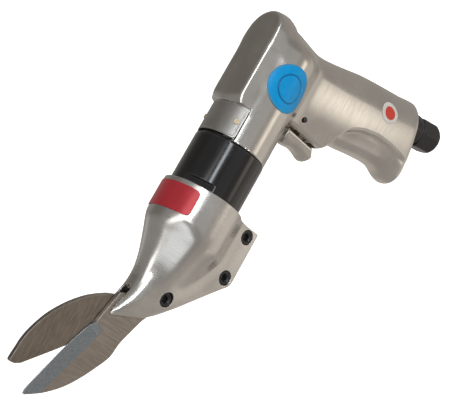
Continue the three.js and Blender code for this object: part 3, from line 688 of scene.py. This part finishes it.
# Height of the roof ridge along the nose; each side of the roof leans by ROOF_TILT.
ridge = smooth_table([
    (-48, 40), (-56, 31.5), (-62, 27.3), (-68, 24.4), (-75, 21), (-81, 18.4), (-88, 16.4),
    (-95, 16.3), (-100, 17), (-105.5, 18.3), (-111, 20.2), (-116, 21.4), (-121, 21.8),
], 1.5)
ROOF_TILT = math.radians(52)
eave_tilt = smooth_table([(-66, 42), (-76, 39), (-84, 35), (-90, 36), (-98, 41), (-106, 43)], 2)
BLADE_ROOM = [
    (-130, 11.8), (-98.6, 11.4), (-76, 10.8), (-66, 19.4), (-44.2, 19.4), (-44.2, -19.4),
    (-66, -19.4), (-74, -15.5), (-84, -15.5), (-88, -30), (-130, 5),
]
PINCH_ROOM = [(-30, -15), (-84, -14), (-90, -10), (-96, -20), (-96, -46), (-30, -46)]
PINCH_HALF = 1
SLOT_END = -102.2
SLOT_FLOOR = 11
# Bores on the motor axis: from, to, radius and rounding of the rim.
GEAR_CASE_SEAT = (-44.3, -28, 18.7, 0.6)
CAM_BORE = (-57.5, -40, 11.5, 0.4)
COUNTERBORE_R = 4.55
SCREW_HOLE_R = 2.8


def head_roof(x, y, z):
    """The two leaning faces on each side of the nose's ridge."""
    out, up = np.abs(y) - SLOT_HALF - 0.8, z - ridge(x)
    roof = out * math.cos(ROOF_TILT) + up * math.sin(ROOF_TILT)
    tilt = np.radians(eave_tilt(x))
    eave = (out - 2.6) * np.cos(tilt) + (up + 2) * np.sin(tilt)
    return meet(roof, eave, 3)


def head_outside(x, y, z):
    """The outside of the head: a cone that blends into flat cheeks, under a roof."""
    radius = np.hypot(y, z)
    lean = (head_radius(x + 0.5) - head_radius(x - 0.5))
    cone = (radius - head_radius(x)) / np.sqrt(1 + lean ** 2)
    cheek = meet(polygon(x, z, CHEEK), np.abs(y) - nose_half(x), edge_softness(z))
    body = meet(join(cone, cheek, 15), head_roof(x, y, z), 4)
    lug_top, lug_blend, lug_step = -22, 4, 0.5
    lug_reach = lug_step * np.clip((lug_top - z) / lug_blend, 0, 1)
    return meet(body, x - HEAD_REAR - lug_reach, 0.7)


def blade_space(x, y, z):
    """The slot in the nose and the room for the moving blade behind it."""
    plan = np.where(x > SLOT_END, np.hypot(x - SLOT_END, y), np.abs(y)) - SLOT_HALF
    slot = meet(plan, SLOT_FLOOR - z, 0.4)
    room = meet(polygon(x, z, BLADE_ROOM), np.abs(y) - SLOT_HALF, 0.4)
    return np.minimum(slot, room)


def head(x, y, z):
    """The head with its blade slot, pinch slot, bores and screw holes."""
    body = cut(head_outside(x, y, z), blade_space(x, y, z), 0.45)
    pinch = meet(polygon(x, z, PINCH_ROOM), np.abs(y) - PINCH_HALF, 0.3)
    body = cut(body, pinch, 0.5)
    for low, high, radius, edge in (GEAR_CASE_SEAT, CAM_BORE):
        body = cut(body, rod(x, y, z, low, high, radius), edge)
    for sx, sz in SCREWS:
        body = cut(body, rod(y, x - sx, z - sz, -14, -4, COUNTERBORE_R), 0.35)
        body = cut(body, rod(y, x - sx, z - sz, -12, 8, SCREW_HOLE_R), 0.3)
    return body


def make_head():
    """The head casting."""
    sculpt("head_casting", "head_housing", head, (-122, -27, -45), (-31, 27, 27),
           0.5, HEAD_METAL)


# ---- Gear case ----
# Spigots and bores on the motor axis: from, to and radius.
HEAD_SPIGOT = (-44, -20, 18.5)
HOUSING_SPIGOT = (-10, 9.8, 20.7)
GEAR_BORE = (-31.5, 20, 19.1)
SPINDLE_BORE = (-60, -20, 14.1)
WRENCH_FLATS = (34, 214)
FLAT_TO_AXIS = 20.2
FLAT_ALONG = (-36, -27.6)


def gear_case(x, y, z):
    """The collar, with a spigot at each end and two wrench flats."""
    radius = np.hypot(y, z)
    shell = meet(radius - COLLAR_R, span(x, -COLLAR_LENGTH, 0), 1.4)
    body = join(shell, rod(x, y, z, *HEAD_SPIGOT, 0.6), 0.3)
    body = join(body, rod(x, y, z, *HOUSING_SPIGOT, 0.6), 0.3)
    body = cut(body, rod(x, y, z, *GEAR_BORE), 0.4)
    body = cut(body, rod(x, y, z, *SPINDLE_BORE), 0.4)
    for degrees in WRENCH_FLATS:
        phi = math.radians(degrees)
        depth = z * math.cos(phi) - y * math.sin(phi)
        flat = meet(FLAT_TO_AXIS - depth, span(x, *FLAT_ALONG), 0.5)
        body = cut(body, flat, 0.4)
    return body


def make_gear_case():
    """The black collar."""
    sculpt("gear_case_collar", "gear_case", gear_case, (-45, -23.4, -23.4), (11, 23.4, 23.4),
           0.6, BLACK_GLOSS)


# ---- Blades ----
# Side views, from the tip.
FIXED_BLADE = (
    [(-180.2, 41.4), (-179.3, 42.2), (-177.4, 42.1), (-174.6, 41.5), (-147.2, 33), (-131.4, 26.6),
     (-128, 24.4), (-124, 24.2), (-105.6, 20.2), (-103, 13.6), (-98, 9), (-84.5, 6), (-82.5, -2),
     (-84.5, -13.6), (-90, -17.4), (-93.5, -16.4), (-104.6, -6.4)]
    + spline([(-109.5, -4.7), (-112.8, -2.9), (-122.4, 0.5), (-130.5, 3), (-139.3, 4.2),
              (-149.4, 9.7), (-158.6, 15.7), (-166.6, 22.4), (-173, 30), (-177.1, 36.1),
              (-179.8, 40.4)], 3)
)
MOVING_BLADE = (
    [(-168.2, 59.2), (-168.6, 58), (-168.4, 55.6), (-166.5, 51.9), (-147.7, 33.5), (-119, 6.5),
     (-112, 0.5), (-106.5, -4.6), (-102, -10), (-95, -13.2), (-86, -12.6), (-78, -12.8),
     (-66, -15.4), (-60, -16.6), (-46.6, -16.6), (-46.6, -12.2), (-57.8, -12.2), (-60.4, -9.4),
     (-60.4, 9.4), (-57.8, 12.2), (-46.6, 12.2), (-46.6, 16.6), (-62, 16.6), (-76, 8), (-97, 7),
     (-101.5, 8.6), (-104.6, 12.4)]
    + spline([(-109.2, 24.4), (-115.7, 34.6), (-124.5, 43.8), (-135, 51.5), (-145, 56.1),
              (-153.9, 58.6), (-161.3, 59.1), (-166.6, 59.4)], 3)
)


def blade(x, y, z, outline, low, high, ground_off=None):
    """A flat blade between two planes, less the part ground off and the pivot hole."""
    body = meet(polygon(x, z, outline), span(y, low, high), 0.5)
    if ground_off is not None:
        body = cut(body, ground_off, 0.25)
    return cut(body, rod(y, x - PIVOT[0], z - PIVOT[1], -6, 6, BLADE_HOLE_R), 0.3)


def fixed_blade(x, y, z):
    """The lower blade, ground along its cutting edge on the near side."""
    du, dv = EDGE_RUN
    above = ((z - EDGE_START[1]) * du - (x - EDGE_START[0]) * dv) / EDGE_LENGTH
    along = ((x - EDGE_START[0]) * du + (z - EDGE_START[1]) * dv) / EDGE_LENGTH
    depth = y + BLADE_GAP + BLADE_THICKNESS
    facet = depth * BEVEL_WIDTH - (above + BEVEL_WIDTH) * BEVEL_DROP
    facet = facet / math.hypot(BEVEL_WIDTH, BEVEL_DROP)
    run_out = (along - EDGE_LENGTH) * 0.6 + depth * 0.7 - above * 0.38
    return blade(x, y, z, FIXED_BLADE, -BLADE_GAP - BLADE_THICKNESS, -BLADE_GAP,
                 meet(facet, run_out, 0.3))


def moving_blade(x, y, z):
    """The upper blade, with the fork that goes round the cam bearing."""
    return blade(x, y, z, MOVING_BLADE, BLADE_GAP, BLADE_GAP + BLADE_THICKNESS)


def make_blades():
    """Both blades."""
    sculpt("lower_blade", "fixed_blade", fixed_blade, (-182, -4, -19), (-81, 0.6, 44), 0.4,
           BLADE_STEEL)
    sculpt("upper_blade", "moving_blade", moving_blade, (-170, -0.6, -18), (-45, 4, 61), 0.45,
           DARK_BLADE_STEEL, body="shear_blade")


# ---- Trigger and pin ----
TRIGGER_HALF = 6.95
TRIGGER_DRAFT = 0.11
TRIGGER_CROWN = 4.4
TRIGGER_PIN_HALF = 13.8
TRIGGER_PIN_R = 1.45
TRIGGER_SIDE = (
    [(33.5, -26.4), (27.5, -26.2)]
    + spline([(25.4, -27), (24, -29), (24.2, -32.6), (25.2, -37), (25.6, -41), (25, -45.5),
              (24, -49.5), (24, -51.6), (25.2, -53), (27.4, -53.2), (30.4, -51.6)], 3)
    + [(33.5, -50.4)]
)


def trigger(x, y, z):
    """The trigger: its side view bent back towards the flanks, which taper forwards."""
    crown = TRIGGER_CROWN * (np.abs(y) / 6.6) ** 2.6
    shifted = x - crown * np.clip((33 - x) / 8, 0, 1)
    side = polygon(shifted, z, TRIGGER_SIDE) * 0.85
    flank = np.abs(y) - TRIGGER_HALF + TRIGGER_DRAFT * np.maximum(32 - x, 0)
    return meet(side, flank, 1.8)


def trigger_pin(x, y, z):
    """The cross pin behind the trigger."""
    return rod(y, x - TRIGGER_PIN[0], z - TRIGGER_PIN[1], -TRIGGER_PIN_HALF, TRIGGER_PIN_HALF,
               TRIGGER_PIN_R, 0.8)


def make_trigger():
    """The trigger and its pin."""
    sculpt("trigger_lever", "trigger", trigger, (22, -8, -55), (36, 8, -25), 0.3, ALUMINIUM,
           body="trigger_body")
    sculpt("trigger_cross_pin", "trigger_pin", trigger_pin, (39, -15, -31), (44, 15, -26), 0.25,
           BLACK_SATIN)


# ---- Screws ----
# Head and shank of a socket screw: from, to and radius.
SCREW_HEAD = (-9.8, -4.2, 4.3)
SCREW_SHANK = (-6, 7.7, 2.6)
SOCKET_R = 2.3
SOCKET_FLOOR = -7
CHAMFER_FLOOR = -9.1


def hexagon(u, v, corner_radius):
    """Distance to the sides of a hexagon."""
    flat = corner_radius * math.cos(math.pi / 6)
    angles = [k * math.pi / 3 for k in range(3)]
    return np.maximum.reduce([
        np.abs(u * math.cos(a) + v * math.sin(a)) - flat for a in angles
    ])


def head_screw(x, y, z):
    """A socket screw whose head is on the near side, with a chamfered hexagon socket."""
    body = join(rod(y, x, z, *SCREW_HEAD, 1.1), rod(y, x, z, *SCREW_SHANK, 0.8), 0.4)
    socket = meet(hexagon(x, z, SOCKET_R), span(y, -12, SOCKET_FLOOR), 0.2)
    chamfer = np.hypot(x, z) - SOCKET_R - 0.9 * np.clip(-9.0 - y, 0, 1)
    return cut(cut(body, socket, 0.35), meet(chamfer, y - CHAMFER_FLOOR, 0.2), 0.3)


def make_screws():
    """The three screws of the head."""
    for i, (sx, sz) in enumerate(SCREWS, 1):
        sculpt(f"head_cap_screw_{i}", f"head_screw_{i}",
               lambda x, y, z, sx=sx, sz=sz: head_screw(x - sx, y, z - sz),
               (sx - 5, -10.6, sz - 5), (sx + 5, 8.4, sz + 5), 0.24, BLACK_SATIN)


# ---- Air inlet and exhaust ----
# Parts of the bushing along the inlet's axis: from, to and radius.
INLET_SPIGOT = (-8.4, 12, 8.9)
INLET_COLLAR = (HEEL_S + 0.3, 17.2, 10.8)
INLET_NECK = (12, 22, 9.4)
STRAINER_SEAT = (-12, -5.5, 6.6)
AIR_PASSAGE = (-8, 17, 4.2)
COUPLER_BORE = (15, 40, 5.9)
NUT_ALONG = (19.4, 36.4)
NUT_CORNER_R = 11.2
GRILLE = ((HEEL_S - 1.8, HEEL_S - 0.2), (-9.4, 9.4), (-33.4, -12.1))
GRILLE_SLOTS = 4
SLOT_START, SLOT_PITCH, SLOT_WIDTH = -30.5, 4.5, 2.2


def inlet(x, y, z):
    """The bushing, with a hexagon whose corners are turned down at both ends."""
    s, t = along_inlet(x, z)
    radius = np.hypot(t, y)
    crown = radius + 0.55 * np.maximum(s - 34, 0) - 10.9
    nut = meet(meet(hexagon(t, y, NUT_CORNER_R), crown, 0.5), span(s, *NUT_ALONG), 0.6)
    nut = meet(nut, radius + 0.6 * np.maximum(21 - s, 0) - 11, 0.4)
    body = join(rod(s, t, y, *INLET_SPIGOT, 0.6), rod(s, t, y, *INLET_COLLAR, 1.2), 0.3)
    body = join(body, join(rod(s, t, y, *INLET_NECK), nut, 0.8), 0.8)
    body = cut(body, rod(s, t, y, *STRAINER_SEAT), 0.3)
    body = cut(body, rod(s, t, y, *AIR_PASSAGE), 0.3)
    return cut(body, rod(s, t, y, *COUPLER_BORE), 0.8)


def exhaust(x, y, z):
    """The slotted plate in the heel."""
    s, t = along_inlet(x, z)
    plate = box(s, y, t, *GRILLE, 0.9)
    for i in range(GRILLE_SLOTS):
        start = SLOT_START + SLOT_PITCH * i
        opening = box(s, y, t, (0, 14), (-6.5, 6.5), (start, start + SLOT_WIDTH), 0.9)
        plate = cut(plate, opening, 0.4)
    return plate


def make_inlet():
    """The air inlet and the exhaust grille."""
    sculpt("air_inlet_bushing", "inlet_bushing", inlet, (78, -12, -146), (110, 12, -96), 0.42,
           BLACK_SATIN)
    sculpt("exhaust_grille_plate", "exhaust_grille", exhaust, (53, -10, -128), (82, 10, -116),
           0.35, BLACK_SATIN)


# ---- Plates, badge and stickers ----
def rounded_outline(half_u, half_v, corner, steps):
    """Points of a rounded rectangle, or of an oval when the corner fills it."""
    power = 2 + 2 * (min(half_u, half_v) / corner - 1)
    points = []
    for k in range(steps):
        a = 2 * math.pi * k / steps
        c, sn = math.cos(a), math.sin(a)
        scale = (abs(c) ** power + abs(sn) ** power) ** (-1 / power)
        points.append((half_u * c * scale, half_v * sn * scale))
    return points


def sheet(name, stands_for, outline, onto, thickness, material, rings,
          relief=lambda share: 0.0):
    """Thin plate on a surface: onto(u, v, lift) gives points, and relief its height by share."""
    loops = [(r / rings, thickness + relief(r / rings)) for r in range(1, rings)]
    loops += [(0.994, thickness), (0.999, thickness * 0.8), (1.0, thickness * 0.5), (1.0, 0.0)]
    loops += [(r / rings, 0.0) for r in range(rings - 1, 0, -1)]
    count = len(outline)
    u, v = np.array(outline).T
    centre = np.zeros(1)
    points = [onto(centre, centre, thickness + relief(0.0))]
    points += [onto(u * share, v * share, lift) for share, lift in loops]
    points.append(onto(centre, centre, 0.0))
    points = np.concatenate(points)
    last = len(points) - 1
    faces = [(0, 1 + k, 1 + (k + 1) % count) for k in range(count)]
    for ring in range(len(loops) - 1):
        a, b = 1 + ring * count, 1 + (ring + 1) * count
        faces += [(a + k, b + k, b + (k + 1) % count, a + (k + 1) % count) for k in range(count)]
    tail = 1 + (len(loops) - 1) * count
    faces += [(tail + (k + 1) % count, tail + k, last) for k in range(count)]
    return new_piece(name, points, faces, material, "tool_body", stands_for)


def around_axis(centre_x, centre_phi, radius):
    """Maps a flat layout onto a cylinder about the motor axis; phi is from +Z towards -Y."""
    def onto(u, v, lift):
        phi = centre_phi + v / radius
        r = radius + lift
        return np.stack([centre_x + u, -r * np.sin(phi), r * np.cos(phi)], axis=1)
    return onto


def on_grip(centre_x, centre_z):
    """Maps a flat layout onto the near side of the handle."""
    def onto(u, v, lift):
        start_y, steps = -15.0, 8
        x, z = centre_x + u, centre_z + v
        y = np.full(len(x), start_y)
        for _ in range(steps):
            y = y + housing_outside(x, y, z)
        return np.stack([x, y - lift, z], axis=1)
    return onto


def groove(inner, outer, depth):
    """Relief of a shallow engraved line between two shares of the outline."""
    return lambda share: -depth if inner < share < outer else 0.0


def make_name_plate():
    """The plate in front of the top pad, with an engraved border."""
    outline = rounded_outline(PLATE_HALF_LENGTH, BARREL_R * PLATE_HALF_ANGLE, 1.2, 160)
    sheet("name_plate_sheet", "name_plate", outline, around_axis(PLATE_X, 0, BARREL_R - 0.35),
          0.5, SATIN_PLATE, 60, groove(0.89, 0.92, 0.16))


def make_label():
    """The red label round the head."""
    outline = rounded_outline(LABEL_HALF_LENGTH, 25.7 * LABEL_HALF_ANGLE, 2.0, 160)
    sheet("head_label_foil", "head_label", outline, around_axis(LABEL_X, 0, 25.6),
          0.3, RED, 40)


def badge_relief(share):
    """A raised rim and an engraved ring."""
    rim_start, rim_height = 0.95, 0.12
    return rim_height if share > rim_start else groove(0.56, 0.61, 0.14)(share)


def make_badge():
    """The oval badge on the near side of the barrel."""
    phi = math.pi / 2 - math.atan2(BADGE_CENTRE[1], BARREL_R)
    sheet("side_badge_oval", "side_badge", rounded_outline(*BADGE_HALF, BADGE_HALF[0], 96),
          around_axis(BADGE_CENTRE[0], phi, BARREL_R + 0.15), 0.4, BLUE, 60,
          badge_relief)


def make_sticker():
    """The oval sticker on the near side of the handle."""
    sheet("grip_sticker_foil", "grip_sticker",
          rounded_outline(*STICKER_HALF, STICKER_HALF[0], 72), on_grip(*STICKER_CENTRE),
          0.2, WHITE, 8)


# ---- Finishes of the CAD parts that stay ----
FINISH_OF_NODE = {
    "valve_bushing": BRASS, "inlet_strainer": BRASS, "valve_seal": RUBBER,
    "name_plate_screw_1": BRASS, "name_plate_screw_2": BRASS,
    **{f"vane_{i}": COMPOSITE for i in range(1, 6)},
}


def finish_cad_nodes():
    """Gives every CAD node a finish; bright steel unless FINISH_OF_NODE names another."""
    for name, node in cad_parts.items():
        node.data.materials.clear()
        node.data.materials.append(FINISH_OF_NODE.get(name, BRIGHT_STEEL))


# ---- Studio ----
CAMERA_TARGET = Vector((-0.0804, -0.0029, -0.0371))
CAMERA_DISTANCE = 0.75
CAMERA_AZIMUTH = math.radians(-15.2)
CAMERA_ELEVATION = math.radians(37.98)
CAMERA_ROLL = math.radians(-51.15)
CAMERA_LENS = 102
FLOOR_HALF = 6.0
FLOOR_DROP = 0.02


def make_camera():
    """The camera at the photo's angle."""
    back = Vector((
        math.sin(CAMERA_AZIMUTH) * math.cos(CAMERA_ELEVATION),
        -math.cos(CAMERA_AZIMUTH) * math.cos(CAMERA_ELEVATION),
        math.sin(CAMERA_ELEVATION),
    ))
    camera = bpy.data.objects.new("camera", bpy.data.cameras.new("camera"))
    camera.data.lens = CAMERA_LENS
    camera.data.sensor_width = 36
    camera.data.clip_start = 0.01
    turn = back.to_track_quat("Z", "Y").to_matrix() @ Matrix.Rotation(CAMERA_ROLL, 3, "Z")
    camera.matrix_world = (Matrix.Translation(CAMERA_TARGET + back * CAMERA_DISTANCE)
                           @ turn.to_4x4())
    bpy.context.scene.collection.objects.link(camera)
    bpy.context.scene.camera = camera


def make_floor():
    """A pale floor that the camera sees but that lights nothing and mirrors in nothing."""
    mesh = bpy.data.meshes.new("floor")
    size, level_z = FLOOR_HALF, CAD_BOUNDS[0].z - FLOOR_DROP
    corners = [(-size, -size), (size, -size), (size, size), (-size, size)]
    mesh.from_pydata([(x, y, level_z) for x, y in corners], [], [(0, 1, 2, 3)])
    s = Shader("pale_floor")
    s.finish((0.9, 0.9, 0.89), s.remap(s.noise(6, 3), 0.75, 0.85), metallic=0)
    glow = s.surface.inputs
    glow["Emission Color"].default_value = (1, 1, 1, 1)
    glow["Emission Strength"].default_value = 1.0
    # Seen from below, the floor is clear, so the underside of the tool can be looked at.
    either = s.add("ShaderNodeMixShader")
    s.wire(s.add("ShaderNodeNewGeometry").outputs["Backfacing"], either, 0)
    s.wire(s.surface.outputs[0], either, 1)
    s.wire(s.add("ShaderNodeBsdfTransparent").outputs[0], either, 2)
    s.wire(either.outputs[0], s.tree.nodes["Material Output"], "Surface")
    mesh.materials.append(s.material)
    floor = bpy.data.objects.new("floor", mesh)
    floor.visible_glossy = False
    floor.visible_diffuse = False
    floor.visible_shadow = False
    bpy.context.scene.collection.objects.link(floor)


# Soft panels round the object: azimuth and elevation of the centre, half sizes, softness (degrees),
# brightness and tint. Azimuth 0 is the side with the screws and 90 is behind the handle.
WHITE_LIGHT = (1.0, 1.0, 1.0)
COOL_LIGHT = (0.9, 0.96, 1.0)
WARM_LIGHT = (1.0, 0.92, 0.8)
PANELS = [
    (25, 41, 29, 2, 3.5, 9.0, COOL_LIGHT),
    (-42, 30, 3, 12, 8, 1.3, COOL_LIGHT),
    (-15, 61, 36, 6, 6, 2.4, WHITE_LIGHT),
    (-170, 15, 15, 4, 8, 0.3, WHITE_LIGHT),
    (-160, -50, 40, 12, 20, 0.16, WARM_LIGHT),
    (165, 42, 30, 14, 16, -0.12, WHITE_LIGHT),
    (23, -36, 5, 3, 6, 1.6, WARM_LIGHT),
    (20, -68, 50, 14, 14, 0.3, WARM_LIGHT),
    (20, 4, 12, 12, 8, 0.2, COOL_LIGHT),
]
GLOW_BELOW = (0.42, 0.39, 0.36)
GLOW_ABOVE = (0.32, 0.305, 0.29)


class Sky(NodeTree):
    """The world, with the direction of each ray as azimuth and elevation."""

    def __init__(self, world):
        world.use_nodes = True
        super().__init__(world.node_tree)
        self.tree.nodes.clear()
        split = self.add("ShaderNodeSeparateXYZ")
        self.wire(self.add("ShaderNodeTexCoord").outputs["Generated"], split, 0)
        ahead = self.math("MULTIPLY", split.outputs["Y"], -1)
        self.azimuth = self.degrees(self.math("ARCTAN2", split.outputs["X"], ahead))
        self.elevation = self.degrees(self.math("ARCSINE", split.outputs["Z"]))

    def degrees(self, angle):
        return self.math("MULTIPLY", angle, 180 / math.pi)

    def fade(self, value, full, none):
        """One at full, nothing at none, with a soft step between them."""
        node = self.add("ShaderNodeMapRange", interpolation_type="SMOOTHSTEP")
        self.wire(value, node, "Value")
        low, high = sorted((full, none))
        node.inputs["From Min"].default_value = low
        node.inputs["From Max"].default_value = high
        node.inputs["To Min"].default_value = 1.0 if full < none else 0.0
        node.inputs["To Max"].default_value = 0.0 if full < none else 1.0
        return node.outputs["Result"]

    def window(self, value, centre, half, soft):
        """One within half of centre, fading to nothing over soft."""
        off = self.math("ABSOLUTE", self.math("SUBTRACT", value, centre))
        return self.fade(off, half, half + soft)

    def tinted(self, factor, colour):
        node = self.add("ShaderNodeVectorMath", operation="SCALE")
        node.inputs[0].default_value = colour
        self.wire(factor, node, "Scale")
        return node.outputs["Vector"]

    def plus(self, a, b):
        node = self.add("ShaderNodeVectorMath", operation="ADD")
        self.wire(a, node, 0)
        self.wire(b, node, 1)
        return node.outputs["Vector"]


def make_surroundings():
    """A studio seen only in reflections and as soft light; the camera sees plain white."""
    world = bpy.data.worlds.new("studio")
    bpy.context.scene.world = world
    sky = Sky(world)
    all_below, all_above = -22, 4
    below = sky.fade(sky.elevation, all_below, all_above)
    total = sky.plus(sky.tinted(below, GLOW_BELOW),
                     sky.tinted(sky.math("SUBTRACT", 1, below), GLOW_ABOVE))
    for azimuth, elevation, half_azimuth, half_elevation, soft, strength, tint in PANELS:
        across = sky.window(sky.azimuth, azimuth, half_azimuth, soft)
        up = sky.window(sky.elevation, elevation, half_elevation, soft)
        lit = sky.math("MULTIPLY", sky.math("MULTIPLY", across, up), strength)
        total = sky.plus(total, sky.tinted(lit, tint))
    studio = sky.add("ShaderNodeBackground")
    sky.wire(total, studio, "Color")
    white = sky.add("ShaderNodeBackground")
    white.inputs["Color"].default_value = (1, 1, 1, 1)
    switch = sky.add("ShaderNodeMixShader")
    sky.wire(sky.add("ShaderNodeLightPath").outputs["Is Camera Ray"], switch, "Fac")
    sky.wire(studio.outputs["Background"], switch, 1)
    sky.wire(white.outputs["Background"], switch, 2)
    sky.wire(switch.outputs["Shader"], sky.add("ShaderNodeOutputWorld"), "Surface")


make_housing()
make_head()
make_gear_case()
make_blades()
make_trigger()
make_screws()
make_inlet()
make_name_plate()
make_label()
make_badge()
make_sticker()
finish_cad_nodes()
make_camera()
make_floor()
make_surroundings()
bpy.context.scene.view_settings.view_transform = "Standard"
